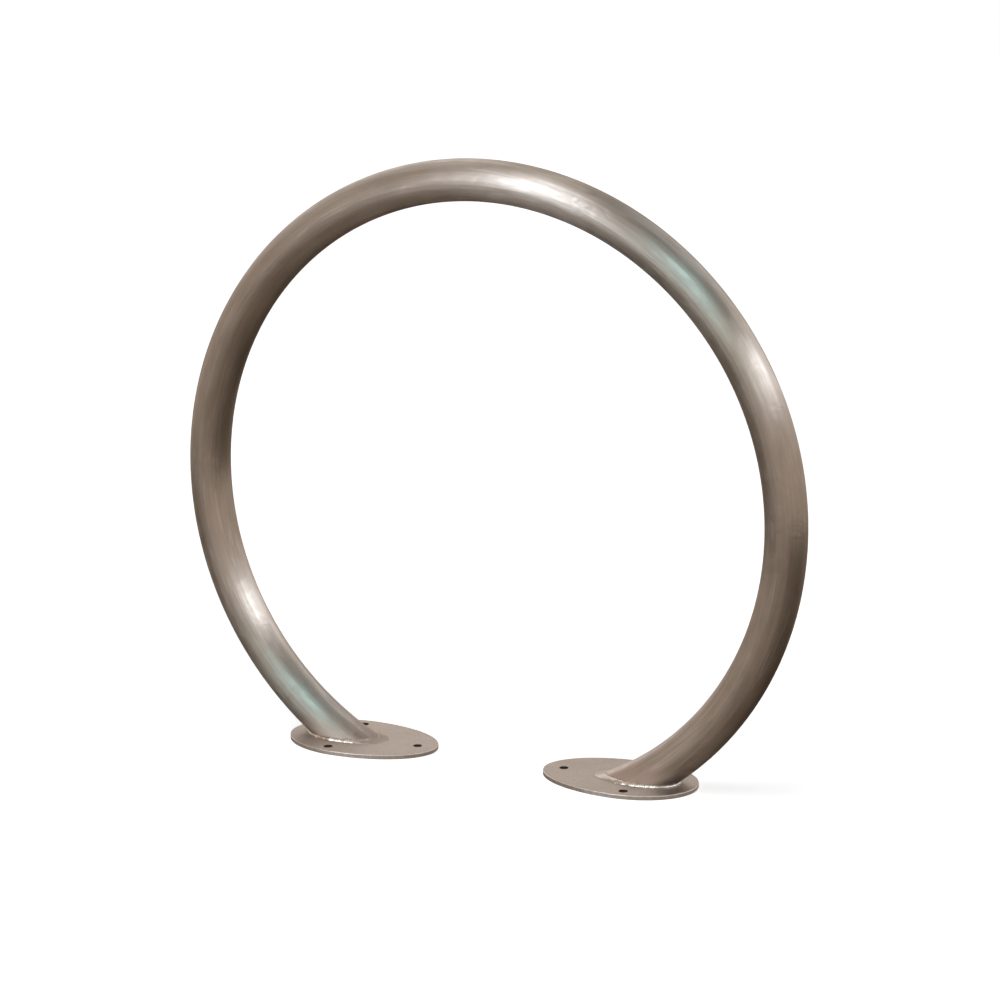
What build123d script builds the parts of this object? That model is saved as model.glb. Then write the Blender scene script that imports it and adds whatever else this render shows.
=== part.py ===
"""Hoop rail: one rolled stainless pipe, most of a circle, welded to two flat oval base plates.

Millimetres, +Z up. X runs across the hoop and Y runs through it. The origin is on the floor,
midway between the two base plates.
"""

import os
from math import sqrt

from build123d import *

# Hoop: NPS 2 pipe, schedule 10S, rolled to an 18 inch centreline radius
pipe_diameter = 60.3
pipe_wall = 2.77
bend_radius = 457.2
hoop_centre_height = 395.0

# Base plates: each lies mostly inside the hoop's foot, and is widest near its outer end
plate_thickness = 6.35
plate_length = 235.0
plate_width = 150.0
plate_middle_x = 207.2
widest_point_offset = 15.0
plate_edge_break = 0.8

# Anchor holes: one towards the middle of the rail, and a pair beside the pipe
hole_diameter = 12.7
inner_hole_x = 118.75
outer_hole_x = 237.5
outer_hole_y = 56.5
hole_edge_break = 0.5

# Fillet weld all round each foot: its width on the plate and height up the pipe, and its thin upper edge
weld_leg = 5.0
weld_toe = 0.4

pipe_radius = pipe_diameter / 2
hoop_axis = Axis((0, 0, hoop_centre_height), (0, 1, 0))
plate_top = Plane.XY.offset(plate_thickness)
pipe_section_plane = Plane((bend_radius, 0, hoop_centre_height))


# --- Hoop tube: a full ring of pipe, cut off flat where it meets the plates ---
with BuildPart() as hoop_tube:
    with BuildSketch(pipe_section_plane):
        Circle(pipe_radius)
        Circle(pipe_radius - pipe_wall, mode=Mode.SUBTRACT)
    revolve(axis=hoop_axis)
    split(bisect_by=plate_top, keep=Keep.TOP)


# --- Base plates: the right one is drawn, and the left one is its mirror image ---
with BuildPart() as right_base_plate:
    with BuildSketch():
        with BuildLine():
            widest_point = (plate_middle_x + widest_point_offset, 0)
            outer_reach = plate_length / 2 - widest_point_offset
            inner_reach = plate_length / 2 + widest_point_offset
            EllipticalCenterArc(widest_point, outer_reach, plate_width / 2, -90, arc_size=180)
            EllipticalCenterArc(widest_point, inner_reach, plate_width / 2, 90, arc_size=180)
        make_face()
    extrude(amount=plate_thickness)
    rims = right_base_plate.faces().filter_by(Axis.Z).edges()
    fillet(rims, plate_edge_break)
    with Locations(
        plate_top * Pos(inner_hole_x, 0),
        plate_top * Pos(outer_hole_x, outer_hole_y),
        plate_top * Pos(outer_hole_x, -outer_hole_y),
    ):
        Hole(hole_diameter / 2)
    hole_rims = right_base_plate.edges().filter_by(GeomType.CIRCLE)
    chamfer(hole_rims, hole_edge_break)

with BuildPart() as left_base_plate:
    mirror(right_base_plate.part, about=Plane.YZ)


# --- Weld beads: a tapered collar round the pipe's foot, with the pipe itself taken out of it ---
def foot_ellipse(height, margin):
    """An ellipse on the plane this high above the plate, the margin wider than the pipe's outline there."""
    drop = hoop_centre_height - plate_thickness - height
    inner_x = sqrt((bend_radius - pipe_radius) ** 2 - drop**2)
    outer_x = sqrt((bend_radius + pipe_radius) ** 2 - drop**2)
    foot_plane = Plane(((inner_x + outer_x) / 2, 0, plate_thickness + height))
    with BuildSketch(foot_plane) as outline:
        Ellipse((outer_x - inner_x) / 2 + margin, pipe_radius + margin)
    return outline.sketch


with BuildPart() as right_weld_bead:
    loft([foot_ellipse(0, weld_leg), foot_ellipse(weld_leg, weld_toe)], ruled=True)
    with BuildSketch(pipe_section_plane):
        Circle(pipe_radius)
    revolve(axis=hoop_axis, mode=Mode.SUBTRACT)

with BuildPart() as left_weld_bead:
    mirror(right_weld_bead.part, about=Plane.YZ)


pieces = {
    "hoop_tube": hoop_tube.part,
    "left_base_plate": left_base_plate.part,
    "right_base_plate": right_base_plate.part,
    "left_weld_bead": left_weld_bead.part,
    "right_weld_bead": right_weld_bead.part,
}

os.makedirs("parts", exist_ok=True)
for name, piece in pieces.items():
    piece.label = name
    export_step(piece, f"parts/{name}.step")
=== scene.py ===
import math

import bpy
import numpy as np
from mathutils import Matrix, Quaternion, Vector


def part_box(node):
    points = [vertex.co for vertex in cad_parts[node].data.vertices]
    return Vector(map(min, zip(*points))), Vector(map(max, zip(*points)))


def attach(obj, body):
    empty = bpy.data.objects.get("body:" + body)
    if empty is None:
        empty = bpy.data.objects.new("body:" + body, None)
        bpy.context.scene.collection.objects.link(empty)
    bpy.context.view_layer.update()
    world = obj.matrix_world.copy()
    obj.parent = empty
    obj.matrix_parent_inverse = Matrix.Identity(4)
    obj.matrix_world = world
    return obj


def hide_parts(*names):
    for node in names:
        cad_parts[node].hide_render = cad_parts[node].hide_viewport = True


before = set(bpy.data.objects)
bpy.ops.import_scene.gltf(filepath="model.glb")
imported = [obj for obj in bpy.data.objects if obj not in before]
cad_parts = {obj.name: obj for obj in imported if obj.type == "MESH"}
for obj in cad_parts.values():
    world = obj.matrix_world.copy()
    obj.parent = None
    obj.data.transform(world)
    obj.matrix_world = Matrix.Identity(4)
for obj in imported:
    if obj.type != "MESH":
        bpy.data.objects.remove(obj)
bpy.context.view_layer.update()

# --- Sizes, in metres, read from the frame ---
tube_low, tube_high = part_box("hoop_tube")
PIPE_RADIUS = tube_high.y
BEND_RADIUS = tube_high.x - PIPE_RADIUS
PLATE_TOP = tube_low.z
HOOP_CENTRE_Z = tube_high.z - tube_high.x
CENTRE_ABOVE_PLATE = HOOP_CENTRE_Z - PLATE_TOP

# The ellipse where the pipe's outside meets a plate
foot_inner = math.sqrt((BEND_RADIUS - PIPE_RADIUS)**2 - CENTRE_ABOVE_PLATE**2)
foot_outer = math.sqrt((BEND_RADIUS + PIPE_RADIUS)**2 - CENTRE_ABOVE_PLATE**2)
FOOT_MIDDLE = (foot_inner + foot_outer) / 2
FOOT_HALF_LENGTH = (foot_outer - foot_inner) / 2

# --- Bolt holes in each plate ---
INNER_HOLE_X = 0.11875
OUTER_HOLE_X = 0.2375
OUTER_HOLE_Y = 0.0565
HOLE_RADIUS = 0.00635

# --- Pipe mesh ---
PIPE_WALL = 0.00277
AROUND_STEPS = 96
ALONG_STEPS = 420

# --- Weld bead mesh ---
BEAD_STEPS = 1040
BEAD_RIPPLES = 118
BEAD_SECTION_STEPS = 10
BEAD_LEG = 0.0029
BEAD_OUTER_EXTRA = 0.0031
GROUND_REACH_ON_PLATE = 0.006
GROUND_REACH_ON_PIPE = 0.0065
RIPPLE_DEPTH = 0.00034
BEAD_SINK_IN_PLATE = 0.0003
BEAD_SINK_IN_PIPE = 0.0004
BEAD_ROOT_SINK = 0.0008

# --- Stage, in metres ---
STAGE_RADIUS = 8.0


def new_mesh_object(name, points, faces):
    """A smooth-shaded mesh object from a list of points and a list of faces."""
    mesh = bpy.data.meshes.new(name)
    mesh.from_pydata([tuple(p) for p in points], [], faces)
    mesh.validate()
    mesh.shade_smooth()
    piece = bpy.data.objects.new(name, mesh)
    bpy.context.scene.collection.objects.link(piece)
    return piece


def add_vector_attribute(mesh, name, values):
    attribute = mesh.attributes.new(name, "FLOAT_VECTOR", "POINT")
    attribute.data.foreach_set("vector", np.asarray(values, np.float32).ravel())


def foot_angle(radius, around):
    """How far below the hoop's horizontal a line along the pipe meets the plates, in radians."""
    return np.arcsin(CENTRE_ABOVE_PLATE / (BEND_RADIUS + radius * np.cos(around)))


def pipe_point(radius, along, around):
    """A point of the bent pipe. along turns about the hoop's centre, around about the pipe's centreline."""
    reach = BEND_RADIUS + radius * np.cos(around)
    x = reach * np.cos(along)
    y = radius * np.sin(around)
    z = HOOP_CENTRE_Z + reach * np.sin(along)
    return np.stack(np.broadcast_arrays(x, y, z), -1)


def pipe_grid(radius):
    """Points and (along, around) angles of one skin of the pipe, both ends cut flat on the plates."""
    around = np.linspace(0, 2 * math.pi, AROUND_STEPS, endpoint=False)[None, :]
    share = np.linspace(0, 1, ALONG_STEPS + 1)[:, None]
    below = foot_angle(radius, around)
    along = -below + share * (math.pi + 2 * below)
    return pipe_point(radius, along, around), along, np.broadcast_to(around, along.shape)


def build_pipe():
    """The hollow bent pipe: outer skin, inner skin, and the two cut rings that stand on the plates."""
    outer, along, around = pipe_grid(PIPE_RADIUS)
    inner, _, _ = pipe_grid(PIPE_RADIUS - PIPE_WALL)
    rows = ALONG_STEPS + 1
    skin_size = rows * AROUND_STEPS

    def index(skin, row, column):
        return skin * skin_size + row * AROUND_STEPS + column % AROUND_STEPS

    faces = []
    for column in range(AROUND_STEPS):
        for row in range(ALONG_STEPS):
            corners = [(row, column), (row + 1, column), (row + 1, column + 1), (row, column + 1)]
            faces.append([index(0, *corner) for corner in reversed(corners)])
            faces.append([index(1, *corner) for corner in corners])
        first = [index(0, 0, column), index(0, 0, column + 1), index(1, 0, column + 1), index(1, 0, column)]
        last = [index(0, ALONG_STEPS, column), index(1, ALONG_STEPS, column),
                index(1, ALONG_STEPS, column + 1), index(0, ALONG_STEPS, column + 1)]
        faces += [first, last]
    points = np.concatenate([outer.reshape(-1, 3), inner.reshape(-1, 3)])
    pipe = new_mesh_object("bent_pipe", points, faces)

    # Where each point lay on the pipe while it was still straight: along it, then across it
    straight = np.stack([BEND_RADIUS * (along - math.pi / 2), PIPE_RADIUS * np.cos(around),
                         PIPE_RADIUS * np.sin(around)], -1).reshape(-1, 3)
    add_vector_attribute(pipe.data, "straight_pipe", np.concatenate([straight, straight]))

    # The way round the pipe at each point, which its highlights are stretched along
    turning = np.stack([-np.sin(around) * np.cos(along), np.cos(around), -np.sin(around) * np.sin(along)],
                       -1).reshape(-1, 3)
    add_vector_attribute(pipe.data, "around_pipe", np.concatenate([turning, turning]))
    return pipe


def build_weld_bead(side):
    """A rippled fillet bead round one foot of the pipe. side is -1 on the left and +1 on the right."""
    around = np.linspace(0, 2 * math.pi, BEAD_STEPS, endpoint=False)
    root = pipe_point(PIPE_RADIUS, -foot_angle(PIPE_RADIUS, around), around)
    step = np.roll(root, -1, 0) - np.roll(root, 1, 0)
    tangent = step / np.linalg.norm(step, axis=1)[:, None]
    outward = np.cross(tangent, [0, 0, 1])
    length = np.concatenate([[0], np.cumsum(np.linalg.norm(np.diff(root, axis=0), axis=1))])
    turn = length / (length[-1] + np.linalg.norm(root[0] - root[-1]))

    # The pipe's outward normal at the root, and the way up its surface at right angles to the bead
    centreline = pipe_point(0, -foot_angle(PIPE_RADIUS, around), around)
    pipe_normal = (root - centreline) / PIPE_RADIUS
    climb = np.cross(pipe_normal, tangent)
    climb *= np.sign(climb[:, 2:3])

    # Widest and ground smooth where the pipe leans away from the plate, thick and rippled in the outer corner
    outer_side = (1 + np.cos(around)) / 2
    ground = (1 - outer_side)**4
    wander = 0.0003 * np.sin(9 * 2 * math.pi * turn + 1.0) + 0.0002 * np.sin(23 * 2 * math.pi * turn)
    leg = BEAD_LEG + BEAD_OUTER_EXTRA * outer_side**2 + wander
    toe_on_plate = root + outward * (leg + GROUND_REACH_ON_PLATE * ground)[:, None]
    toe_on_pipe = root + climb * (leg + GROUND_REACH_ON_PIPE * ground)[:, None]
    bulge_way = outward + climb
    bulge_way /= np.linalg.norm(bulge_way, axis=1)[:, None]
    width = np.linalg.norm(toe_on_pipe - toe_on_plate, axis=1)

    rings = []
    for share in np.linspace(0, 1, BEAD_SECTION_STEPS + 1):
        hump = math.sin(math.pi * share)
        lag = 0.35 * (1 - hump)
        wave = (turn * BEAD_RIPPLES + lag) % 1.0
        ripple = RIPPLE_DEPTH * hump * (wave - 0.5) * (0.35 + 0.65 * outer_side) * (1 - ground)
        rise = (0.16 - 0.19 * ground) * width * hump + ripple
        line = toe_on_plate * (1 - share) + toe_on_pipe * share
        rings.append(line + bulge_way * rise[:, None])

    # Both toes sink a little into the steel they stand on, and so does the hidden root
    rings[0] = rings[0] - [0, 0, BEAD_SINK_IN_PLATE]
    rings[-1] = rings[-1] - pipe_normal * BEAD_SINK_IN_PIPE
    rings.append(root - pipe_normal * BEAD_ROOT_SINK - [0, 0, BEAD_SINK_IN_PLATE])

    points = np.stack(rings, 1).reshape(-1, 3) * [side, 1, 1]
    section = len(rings)
    faces = []
    for row in range(BEAD_STEPS):
        following = (row + 1) % BEAD_STEPS
        for column in range(section):
            after = (column + 1) % section
            corners = [row * section + column, following * section + column,
                       following * section + after, row * section + after]
            faces.append(corners if side > 0 else corners[::-1])
    bead = new_mesh_object("right_weld" if side > 0 else "left_weld", points, faces)
    smoothness = bead.data.attributes.new("ground_smooth", "FLOAT", "POINT")
    smoothness.data.foreach_set("value", np.repeat(ground, section).astype(np.float32))
    return bead


# --- Materials ---
def new_material(name):
    material = bpy.data.materials.new(name)
    material.use_nodes = True
    return material, material.node_tree


def add_node(tree, kind, settings=None, **inputs):
    """Adds a node. settings sets its properties. An input is a value or another node's output, and is named
    by its socket, or by i and its number."""
    node = tree.nodes.new(kind)
    for key, value in (settings or {}).items():
        setattr(node, key, value)
    for key, value in inputs.items():
        by_number = key[0] == "i" and key[1:].isdigit()
        socket = node.inputs[int(key[1:])] if by_number else node.inputs[key]
        if isinstance(value, bpy.types.NodeSocket):
            tree.links.new(value, socket)
        else:
            socket.default_value = value
    return node


def math_node(tree, operation, first, second=0.0, third=0.0, clamp=False):
    node = add_node(tree, "ShaderNodeMath", {"operation": operation, "use_clamp": clamp},
                    i0=first, i1=second, i2=third)
    return node.outputs[0]


def scaled(tree, vector, scale):
    node = add_node(tree, "ShaderNodeVectorMath", {"operation": "MULTIPLY"}, i0=vector, i1=scale)
    return node.outputs[0]


def noise(tree, vector, detail=2.0, roughness=0.5, distortion=0.0):
    node = add_node(tree, "ShaderNodeTexNoise", Vector=vector, Scale=1.0, Detail=detail,
                    Roughness=roughness, Distortion=distortion)
    return node.outputs["Fac"]


def between(tree, value, low, high, to_low=0.0, to_high=1.0, smooth=True):
    """Takes value from the range low..high to the range to_low..to_high, clamped."""
    settings = {"interpolation_type": "SMOOTHSTEP" if smooth else "LINEAR", "clamp": True}
    node = add_node(tree, "ShaderNodeMapRange", settings, i0=value, i1=low, i2=high, i3=to_low, i4=to_high)
    return node.outputs[0]


def mix_color(tree, share, first, second, blend="MIX"):
    node = add_node(tree, "ShaderNodeMix", {"data_type": "RGBA", "blend_type": blend},
                    i0=share, i6=first, i7=second)
    return node.outputs[2]


def bumps(tree, layers):
    """A chain of bump nodes. Each layer is a height from 0 to 1 and how many metres deep it is."""
    normal = None
    for height, depth in layers:
        node = add_node(tree, "ShaderNodeBump", Height=height, Distance=depth, Strength=1.0)
        if normal is not None:
            tree.links.new(normal, node.inputs["Normal"])
        normal = node.outputs[0]
    return normal


def steel_shader(tree, color, roughness, normal):
    shader = tree.nodes["Principled BSDF"]
    shader.inputs["Metallic"].default_value = 1.0
    tree.links.new(color, shader.inputs["Base Color"])
    tree.links.new(roughness, shader.inputs["Roughness"])
    tree.links.new(normal, shader.inputs["Normal"])
    return shader


# Colours of the pipe
STEEL = (0.43, 0.37, 0.32, 1)
STEEL_LIGHT = (0.49, 0.43, 0.38, 1)
STEEL_DARK = (0.34, 0.285, 0.24, 1)
LIGHTER_LINE = (0.62, 0.56, 0.51, 1)
STRAW_TINT = (0.50, 0.385, 0.33, 1)
# Painted shade for the band above the outer side of each foot
PAINTED_FOOT_SHADE = (0.17, 0.145, 0.13, 1)

# Colours of the plates
PLATE_DARK = (0.425, 0.36, 0.31, 1)
PLATE_LIGHT = (0.49, 0.42, 0.365, 1)
PLATE_MOTTLE = (0.36, 0.305, 0.265, 1)
PLATE_GRAIN = (0.54, 0.48, 0.43, 1)
PLATE_PIT = (0.22, 0.18, 0.15, 1)
PLATE_STRAW_TINT = (0.35, 0.265, 0.215, 1)
# Blue-grey heat tint, dark enough to be painted shade round the foot as well
PLATE_BLUE_TINT_AND_SHADE = (0.25, 0.225, 0.21, 1)
EDGE_DARK = (0.46, 0.40, 0.36, 1)
EDGE_LIGHT = (0.58, 0.52, 0.47, 1)
# Painted highlight on the rounded rim between the plate's top and its sides
EDGE_PAINTED_HIGHLIGHT = (0.70, 0.63, 0.57, 1)
# Painted shade inside the bolt holes
PAINTED_BORE_SHADE = (0.12, 0.095, 0.08, 1)

# Colours of the welds
WELD_BRIGHT = (0.62, 0.56, 0.51, 1)
WELD_STRAW_TINT = (0.50, 0.42, 0.35, 1)
WELD_BLUE_GREY_TINT = (0.30, 0.29, 0.30, 1)
WELD_DIRT = (0.18, 0.14, 0.11, 1)
WELD_GROUND = (0.42, 0.355, 0.305, 1)


def pipe_material():
    """Stainless tube polished lengthwise: long soft streaks, smudges and a heat tint above each weld."""
    material, tree = new_material("polished_pipe")
    place = add_node(tree, "ShaderNodeAttribute", {"attribute_name": "straight_pipe"}).outputs["Vector"]
    film = noise(tree, scaled(tree, place, (7, 22, 22)), 3.0, 0.55, 0.4)
    smudges = noise(tree, scaled(tree, place, (24, 45, 45)), 3.0, 0.6, 1.2)
    broad = noise(tree, scaled(tree, place, (5, 130, 130)), 2.0)
    streaks = noise(tree, scaled(tree, place, (11, 420, 420)), 2.0)
    hairlines = noise(tree, scaled(tree, place, (45, 1500, 1500)), 1.0)
    specks = noise(tree, scaled(tree, place, (650, 650, 650)), 1.0)

    # A few thin lighter lines along the pipe, here and there
    contour = noise(tree, scaled(tree, place, (3.5, 85, 85)), 1.0)
    off_line = math_node(tree, "ABSOLUTE", math_node(tree, "SUBTRACT", contour, 0.5))
    lines = between(tree, off_line, 0.0, 0.035, 1.0, 0.0)
    lines = math_node(tree, "MULTIPLY", lines, between(tree, film, 0.54, 0.64))

    # A straw heat tint just above each weld, and a band of painted shade above its outer side, near the acute
    # corner with the plate
    radial = add_node(tree, "ShaderNodeSeparateXYZ", i0=place).outputs[1]
    object_place = add_node(tree, "ShaderNodeTexCoord").outputs["Object"]
    height = add_node(tree, "ShaderNodeSeparateXYZ", i0=object_place).outputs[2]
    above_weld = math_node(tree, "ADD", math_node(tree, "SUBTRACT", height, PLATE_TOP),
                           math_node(tree, "MULTIPLY", smudges, 0.03))
    tint = between(tree, above_weld, 0.018, 0.062, 1.0, 0.0)
    painted_foot_shade = math_node(tree, "MULTIPLY", between(tree, above_weld, 0.022, 0.055, 1.0, 0.0),
                       between(tree, radial, 0.010, 0.024))

    color = mix_color(tree, between(tree, film, 0.3, 0.7), STEEL_DARK, STEEL)
    color = mix_color(tree, between(tree, broad, 0.45, 0.75, 0.0, 0.6), color, STEEL_LIGHT)
    color = mix_color(tree, between(tree, streaks, 0.35, 0.65, 0.0, 0.16), color, STEEL_DARK)
    color = mix_color(tree, between(tree, hairlines, 0.4, 0.6, 0.0, 0.10), color, STEEL_LIGHT)
    color = mix_color(tree, math_node(tree, "MULTIPLY", lines, 0.4), color, LIGHTER_LINE)
    color = mix_color(tree, math_node(tree, "MULTIPLY", tint, 0.7), color, STRAW_TINT)
    # Painted shade above the outer side of each foot
    color = mix_color(tree, math_node(tree, "MULTIPLY", painted_foot_shade, 0.9), color, PAINTED_FOOT_SHADE)

    roughness = between(tree, smudges, 0.3, 0.7, 0.31, 0.40)
    roughness = math_node(tree, "ADD", roughness, between(tree, streaks, 0.3, 0.7, -0.03, 0.03))
    roughness = math_node(tree, "ADD", roughness, between(tree, specks, 0.66, 0.76, 0.0, 0.06))
    blotches = math_node(tree, "MULTIPLY", tint, between(tree, smudges, 0.35, 0.65, -0.015, 0.03))
    roughness = math_node(tree, "ADD", roughness, blotches)

    normal = bumps(tree, [(film, 0.0005), (smudges, 0.0003), (broad, 0.0006), (streaks, 0.0002),
                          (hairlines, 0.000006)])
    shader = steel_shader(tree, color, roughness, normal)
    shader.inputs["Anisotropic"].default_value = 0.90
    around = add_node(tree, "ShaderNodeAttribute", {"attribute_name": "around_pipe"}).outputs["Vector"]
    tree.links.new(around, shader.inputs["Tangent"])
    return material


def plate_material():
    """Cut stainless plate: a dull mill finish with faint rolling lines, stains, a heat tint round the weld
    with painted shade nearest the foot, a painted highlight on the rounded rim and painted shade in the bolt
    holes.
    """
    material, tree = new_material("satin_plate")
    place = add_node(tree, "ShaderNodeTexCoord").outputs["Object"]
    stain = noise(tree, scaled(tree, place, (18, 22, 22)), 4.0, 0.6, 0.8)
    grain = noise(tree, scaled(tree, place, (25, 700, 700)), 2.0)
    mottle = noise(tree, scaled(tree, place, (260, 260, 260)), 3.0, 0.65)
    pits = noise(tree, scaled(tree, place, (900, 900, 900)), 1.0)

    # Distance from the foot's ellipse on the plate, as a share of the ellipse's size
    parts = add_node(tree, "ShaderNodeSeparateXYZ", i0=place)
    across = math_node(tree, "SUBTRACT", math_node(tree, "ABSOLUTE", parts.outputs[0]), FOOT_MIDDLE)
    across = math_node(tree, "DIVIDE", across, FOOT_HALF_LENGTH)
    deep = math_node(tree, "DIVIDE", parts.outputs[1], PIPE_RADIUS)
    reach = math_node(tree, "SQRT", math_node(tree, "ADD", math_node(tree, "POWER", across, 2.0),
                                              math_node(tree, "POWER", deep, 2.0)))
    reach = math_node(tree, "ADD", reach, math_node(tree, "MULTIPLY", stain, 0.3))
    tint = between(tree, reach, 1.1, 1.55, 1.0, 0.0)
    # Nearest the foot the tint ring is partly heat tint and partly painted shade where the pipe meets the
    # plate
    blue_tint_and_shade = between(tree, reach, 1.1, 1.28, 1.0, 0.0)

    color = mix_color(tree, between(tree, stain, 0.3, 0.7), PLATE_DARK, PLATE_LIGHT)
    color = mix_color(tree, between(tree, mottle, 0.35, 0.7, 0.0, 0.22), color, PLATE_MOTTLE)
    color = mix_color(tree, between(tree, grain, 0.4, 0.7, 0.0, 0.22), color, PLATE_GRAIN)
    color = mix_color(tree, between(tree, pits, 0.68, 0.75, 0.0, 0.5), color, PLATE_PIT)
    color = mix_color(tree, math_node(tree, "MULTIPLY", tint, 0.25), color, PLATE_STRAW_TINT)
    color = mix_color(tree, math_node(tree, "MULTIPLY", blue_tint_and_shade, 0.2), color, PLATE_BLUE_TINT_AND_SHADE)

    # The cut edge is brighter than the rolled face, partly its own cut finish and partly painted light on the
    # side faces, and has fine lines down it; the rounded rim between top and side gets a painted highlight
    surface_normal = add_node(tree, "ShaderNodeNewGeometry").outputs["Normal"]
    facing = add_node(tree, "ShaderNodeSeparateXYZ", i0=surface_normal)
    upward = math_node(tree, "ABSOLUTE", facing.outputs[2])
    edge = between(tree, upward, 0.75, 0.95, 1.0, 0.0)
    corner = math_node(tree, "MULTIPLY", edge, between(tree, upward, 0.1, 0.4))
    cut_lines = noise(tree, scaled(tree, place, (900, 900, 60)), 2.0)
    edge_color = mix_color(tree, between(tree, cut_lines, 0.35, 0.65), EDGE_DARK, EDGE_LIGHT)
    color = mix_color(tree, edge, color, edge_color)
    # Painted highlight on the rounded rim
    color = mix_color(tree, corner, color, EDGE_PAINTED_HIGHLIGHT)

    # Painted shade inside the bolt holes
    beside = math_node(tree, "ABSOLUTE", parts.outputs[0])
    off_middle = math_node(tree, "ABSOLUTE", parts.outputs[1])
    nearest = None
    for hole_x, hole_y in ((INNER_HOLE_X, 0.0), (OUTER_HOLE_X, OUTER_HOLE_Y)):
        gap_x = math_node(tree, "SUBTRACT", beside, hole_x)
        gap_y = math_node(tree, "SUBTRACT", off_middle, hole_y)
        gap = math_node(tree, "SQRT", math_node(tree, "ADD", math_node(tree, "MULTIPLY", gap_x, gap_x),
                                                math_node(tree, "MULTIPLY", gap_y, gap_y)))
        nearest = gap if nearest is None else math_node(tree, "MINIMUM", nearest, gap)
    bore_shade = between(tree, nearest, HOLE_RADIUS + 0.0002, HOLE_RADIUS + 0.0007, 1.0, 0.0)
    color = mix_color(tree, bore_shade, color, PAINTED_BORE_SHADE)

    roughness = between(tree, stain, 0.3, 0.7, 0.46, 0.58)
    roughness = math_node(tree, "ADD", roughness, between(tree, mottle, 0.3, 0.7, -0.05, 0.05))
    roughness = math_node(tree, "SUBTRACT", roughness, math_node(tree, "MULTIPLY", edge, 0.12))
    cuts = math_node(tree, "MULTIPLY", edge, cut_lines)
    normal = bumps(tree, [(stain, 0.0006), (mottle, 0.00005), (grain, 0.00002), (pits, 0.00002),
                          (cuts, 0.00004)])
    steel_shader(tree, color, roughness, normal)
    return material


def weld_material():
    """Bare weld metal: bright and glassy with straw and blue-grey heat colours along the bead."""
    material, tree = new_material("bare_weld")
    place = add_node(tree, "ShaderNodeTexCoord").outputs["Object"]
    heat = noise(tree, scaled(tree, place, (70, 70, 70)), 3.0, 0.6, 0.5)
    dirt = noise(tree, scaled(tree, place, (420, 420, 420)), 3.0, 0.65)
    skin = noise(tree, scaled(tree, place, (1600, 1600, 1600)), 2.0)

    color = mix_color(tree, between(tree, heat, 0.35, 0.6), WELD_BRIGHT, WELD_STRAW_TINT)
    color = mix_color(tree, between(tree, heat, 0.56, 0.70, 0.0, 0.8), color, WELD_BLUE_GREY_TINT)
    color = mix_color(tree, between(tree, dirt, 0.55, 0.75, 0.0, 0.6), color, WELD_DIRT)
    ground = add_node(tree, "ShaderNodeAttribute", {"attribute_name": "ground_smooth"}).outputs["Fac"]
    worn = math_node(tree, "ADD", ground, math_node(tree, "MULTIPLY", heat, 0.4))
    satin = between(tree, worn, 0.25, 0.75)
    color = mix_color(tree, satin, color, WELD_GROUND)
    roughness = between(tree, dirt, 0.35, 0.75, 0.16, 0.42)
    roughness = add_node(tree, "ShaderNodeMix", i0=satin, i2=roughness, i3=0.38).outputs[0]
    normal = bumps(tree, [(dirt, 0.00010), (skin, 0.00003)])
    steel_shader(tree, color, roughness, normal)
    return material


# --- The model ---
pipe = build_pipe()
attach(pipe, "root")
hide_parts("hoop_tube")
pipe.data.materials.append(pipe_material())

weld_metal = weld_material()
for side, node in ((-1, "left_weld_bead"), (1, "right_weld_bead")):
    bead = build_weld_bead(side)
    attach(bead, "root")
    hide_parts(node)
    bead.data.materials.append(weld_metal)

plate_steel = plate_material()
for node in ("left_base_plate", "right_base_plate"):
    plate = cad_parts[node]
    plate.data.materials.clear()
    plate.data.materials.append(plate_steel)


# --- Floor and backdrop ---
def build_floor():
    steps = np.linspace(0, 2 * math.pi, 128, endpoint=False)
    points = [(STAGE_RADIUS * math.cos(turn), STAGE_RADIUS * math.sin(turn), 0) for turn in steps]
    floor = new_mesh_object("floor", points, [list(range(len(points)))])
    material, tree = new_material("pale_floor")
    place = add_node(tree, "ShaderNodeTexCoord").outputs["Object"]
    cloud = noise(tree, scaled(tree, place, (0.6, 0.6, 0.6)), 2.0)
    shader = tree.nodes["Principled BSDF"]
    color = mix_color(tree, between(tree, cloud, 0.3, 0.7), (0.80, 0.80, 0.80, 1), (0.81, 0.81, 0.81, 1))
    tree.links.new(color, shader.inputs["Base Color"])
    shader.inputs["Roughness"].default_value = 0.9
    shader.inputs["Emission Color"].default_value = (1, 1, 1, 1)
    shader.inputs["Emission Strength"].default_value = 0.8
    floor.data.materials.append(material)
    floor.visible_glossy = False


def build_backdrop():
    """A white dome seen only by the camera, so that the studio round the floor is a plain white."""
    rings, steps = 12, 96
    points = []
    for ring in range(rings):
        rise = ring / rings * math.pi / 2
        for step in range(steps):
            turn = step / steps * 2 * math.pi
            reach = STAGE_RADIUS * math.cos(rise)
            points.append((reach * math.cos(turn), reach * math.sin(turn), STAGE_RADIUS * math.sin(rise)))
    points.append((0, 0, STAGE_RADIUS))
    faces = []
    for ring in range(rings - 1):
        for step in range(steps):
            after = (step + 1) % steps
            faces.append([ring * steps + step, ring * steps + after,
                          (ring + 1) * steps + after, (ring + 1) * steps + step])
    last = (rings - 1) * steps
    faces += [[last + step, last + (step + 1) % steps, len(points) - 1] for step in range(steps)]
    dome = new_mesh_object("backdrop", points, faces)
    material, tree = new_material("white_backdrop")
    glow = add_node(tree, "ShaderNodeEmission", Color=(1, 1, 1, 1), Strength=1.0)
    tree.links.new(glow.outputs[0], tree.nodes["Material Output"].inputs["Surface"])
    dome.data.materials.append(material)
    dome.visible_glossy = False
    dome.visible_diffuse = False
    dome.visible_transmission = False
    dome.visible_shadow = False


build_floor()
build_backdrop()


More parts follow.
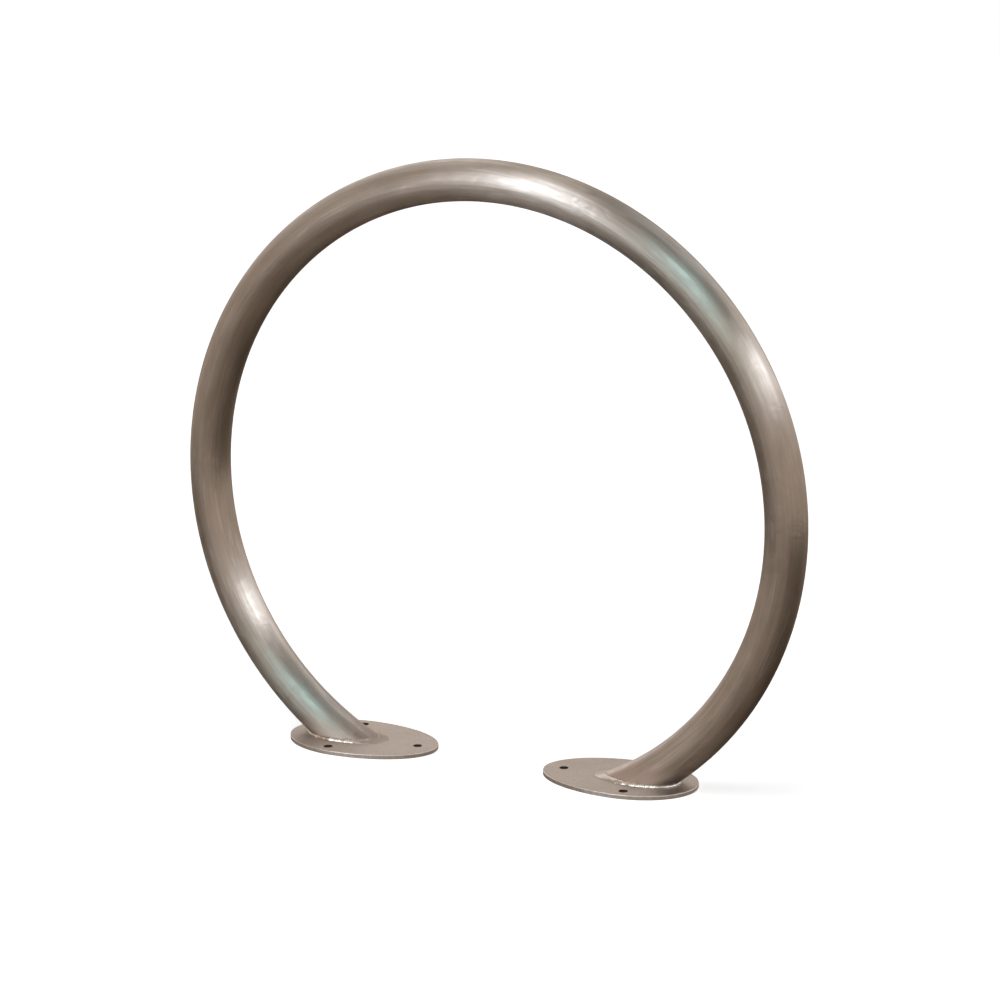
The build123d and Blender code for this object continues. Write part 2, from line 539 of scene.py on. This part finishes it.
# --- Lights ---
def toward(azimuth, elevation):
    """Unit vector of a direction in degrees. Azimuth 0 is towards -Y, and it grows towards +X."""
    turn, rise = math.radians(azimuth), math.radians(elevation)
    return Vector((math.sin(turn) * math.cos(rise), -math.cos(turn) * math.cos(rise), math.sin(rise)))


def strip_light(tree, direction, middle, pipe_angle, half_width, half_length):
    """A soft strip in the sky, whose reflection crosses the pipe where the pipe is at pipe_angle."""
    turn = math.radians(pipe_angle)
    along_pipe = Vector((-math.sin(turn), 0, math.cos(turn)))
    dot_product = {"operation": "DOT_PRODUCT"}
    sideways = add_node(tree, "ShaderNodeVectorMath", dot_product, i0=direction, i1=along_pipe)
    sideways = math_node(tree, "SUBTRACT", sideways.outputs["Value"], middle.dot(along_pipe))
    sideways = math_node(tree, "DIVIDE", sideways, half_width)
    away = add_node(tree, "ShaderNodeVectorMath", dot_product, i0=direction, i1=middle)
    away = math_node(tree, "SUBTRACT", 1.0, away.outputs["Value"])
    away = math_node(tree, "DIVIDE", away, 1 - math.cos(math.radians(half_length)))
    total = math_node(tree, "ADD", math_node(tree, "MULTIPLY", sideways, sideways),
                      math_node(tree, "MULTIPLY", away, away))
    return math_node(tree, "EXPONENT", math_node(tree, "MULTIPLY", total, -1.0))


# Direction of each soft light (azimuth, elevation), the pipe angle its strip crosses, its half width as a
# sine, its half length in degrees, its colour and its strength
SOFT_LIGHTS = [
    ((-19.8, 23), 77.6, 0.084, 27, (0.80, 0.93, 1.08), 7.4),
    ((-21, 62), 77.6, 0.11, 26, (0.86, 0.95, 1.03), 1.2),
    ((-61, -52), 77.6, 0.12, 26, (0.90, 0.95, 1.0), 0.3),
    ((14, 27), 47, 0.12, 28, (0.49, 0.98, 1.12), 2.25),
    ((78, 26), 28, 0.105, 38, (0.84, 0.95, 1.08), 4.6),
    ((150, 34), 120, 0.16, 30, (0.90, 0.97, 1.05), 1.8),
    ((-135, 30), 60, 0.16, 30, (0.90, 0.97, 1.05), 1.4),
]


# Colours of the studio above and below the horizon, as the steel reflects it
SKY_LOW = (0.685, 0.60, 0.53, 1)
SKY_HIGH = (0.625, 0.555, 0.49, 1)
SKY_SHADE = (0.24, 0.225, 0.21, 1)
GROUND_FAR = (0.41, 0.34, 0.29, 1)
GROUND_NEAR = (0.24, 0.19, 0.15, 1)
GROUND_SIDE_FAR = (0.18, 0.145, 0.115, 1)
GROUND_SIDE_NEAR = (0.09, 0.068, 0.05, 1)
GROUND_BEHIND_NEAR = (0.085, 0.065, 0.05, 1)
GROUND_BEHIND_FAR = (0.42, 0.35, 0.295, 1)


def build_world():
    world = bpy.data.worlds.new("studio")
    bpy.context.scene.world = world
    world.use_nodes = True
    tree = world.node_tree
    direction = add_node(tree, "ShaderNodeTexCoord").outputs["Generated"]
    parts = add_node(tree, "ShaderNodeSeparateXYZ", i0=direction)
    front = math_node(tree, "MULTIPLY", parts.outputs[1], -1.0)
    azimuth = math_node(tree, "DEGREES", math_node(tree, "ARCTAN2", parts.outputs[0], front))
    elevation = math_node(tree, "DEGREES", math_node(tree, "ARCSINE", parts.outputs[2]))

    upper = mix_color(tree, between(tree, elevation, 5.0, 60.0), SKY_LOW, SKY_HIGH)
    shade = between(tree, azimuth, 5.0, 45.0)
    shade = math_node(tree, "MULTIPLY", shade, between(tree, elevation, 26.0, 50.0))
    upper = mix_color(tree, shade, upper, SKY_SHADE)
    lower = mix_color(tree, between(tree, elevation, -20.0, -50.0), GROUND_FAR, GROUND_NEAR)
    side = between(tree, math_node(tree, "ABSOLUTE", parts.outputs[0]), 0.35, 0.75)
    side_color = mix_color(tree, between(tree, elevation, -22.0, -48.0), GROUND_SIDE_FAR, GROUND_SIDE_NEAR)
    lower = mix_color(tree, side, lower, side_color)
    under = math_node(tree, "MULTIPLY", between(tree, parts.outputs[1], 0.1, 0.6),
                      between(tree, elevation, -20.0, -36.0))
    lower = mix_color(tree, under, lower, GROUND_BEHIND_NEAR)
    behind = math_node(tree, "MULTIPLY", between(tree, parts.outputs[1], 0.6, 0.9),
                       between(tree, elevation, -28.0, -16.0))
    lower = mix_color(tree, behind, lower, GROUND_BEHIND_FAR)
    sky = mix_color(tree, between(tree, elevation, -15.0, -11.0), lower, upper)
    for angles, pipe_angle, half_width, half_length, color, strength in SOFT_LIGHTS:
        patch = strip_light(tree, direction, toward(*angles), pipe_angle, half_width, half_length)
        glow = add_node(tree, "ShaderNodeVectorMath", {"operation": "SCALE"},
                        i0=[channel * strength for channel in color])
        tree.links.new(patch, glow.inputs["Scale"])
        sky = mix_color(tree, 1.0, sky, glow.outputs[0], "ADD")
    background = tree.nodes["Background"]
    tree.links.new(sky, background.inputs["Color"])
    background.inputs["Strength"].default_value = 1.0
    world.cycles_visibility.diffuse = False


def build_floor_light():
    """A wide lamp overhead that lights only the floor: the steel doesn't reflect it."""
    lamp = bpy.data.lights.new("floor_light", "SUN")
    lamp.energy = 1.2
    lamp.angle = math.radians(40)
    light = bpy.data.objects.new("floor_light", lamp)
    light.rotation_euler = (math.radians(18), math.radians(-14), 0)
    light.visible_glossy = False
    bpy.context.scene.collection.objects.link(light)


build_world()
build_floor_light()

# --- Camera ---
CAMERA_AZIMUTH = math.radians(26.25)
CAMERA_ELEVATION = math.radians(14.68)
CAMERA_ROLL = math.radians(-0.57)
CAMERA_DISTANCE = 4.937
CAMERA_TARGET = Vector((0.0203, 0, HOOP_CENTRE_Z - 0.0008))
CAMERA_LENS = 124.82
CAMERA_SENSOR = 36
back = Vector((math.sin(CAMERA_AZIMUTH) * math.cos(CAMERA_ELEVATION),
               -math.cos(CAMERA_AZIMUTH) * math.cos(CAMERA_ELEVATION), math.sin(CAMERA_ELEVATION)))
camera = bpy.data.objects.new("camera", bpy.data.cameras.new("camera"))
bpy.context.scene.collection.objects.link(camera)
camera.location = CAMERA_TARGET + back * CAMERA_DISTANCE
camera.rotation_mode = "QUATERNION"
camera.rotation_quaternion = (-back).to_track_quat("-Z", "Y")
camera.rotation_quaternion.rotate(Quaternion(back, CAMERA_ROLL))
camera.data.lens = CAMERA_LENS
camera.data.sensor_width = CAMERA_SENSOR
bpy.context.scene.camera = camera
bpy.context.scene.view_settings.view_transform = "Standard"
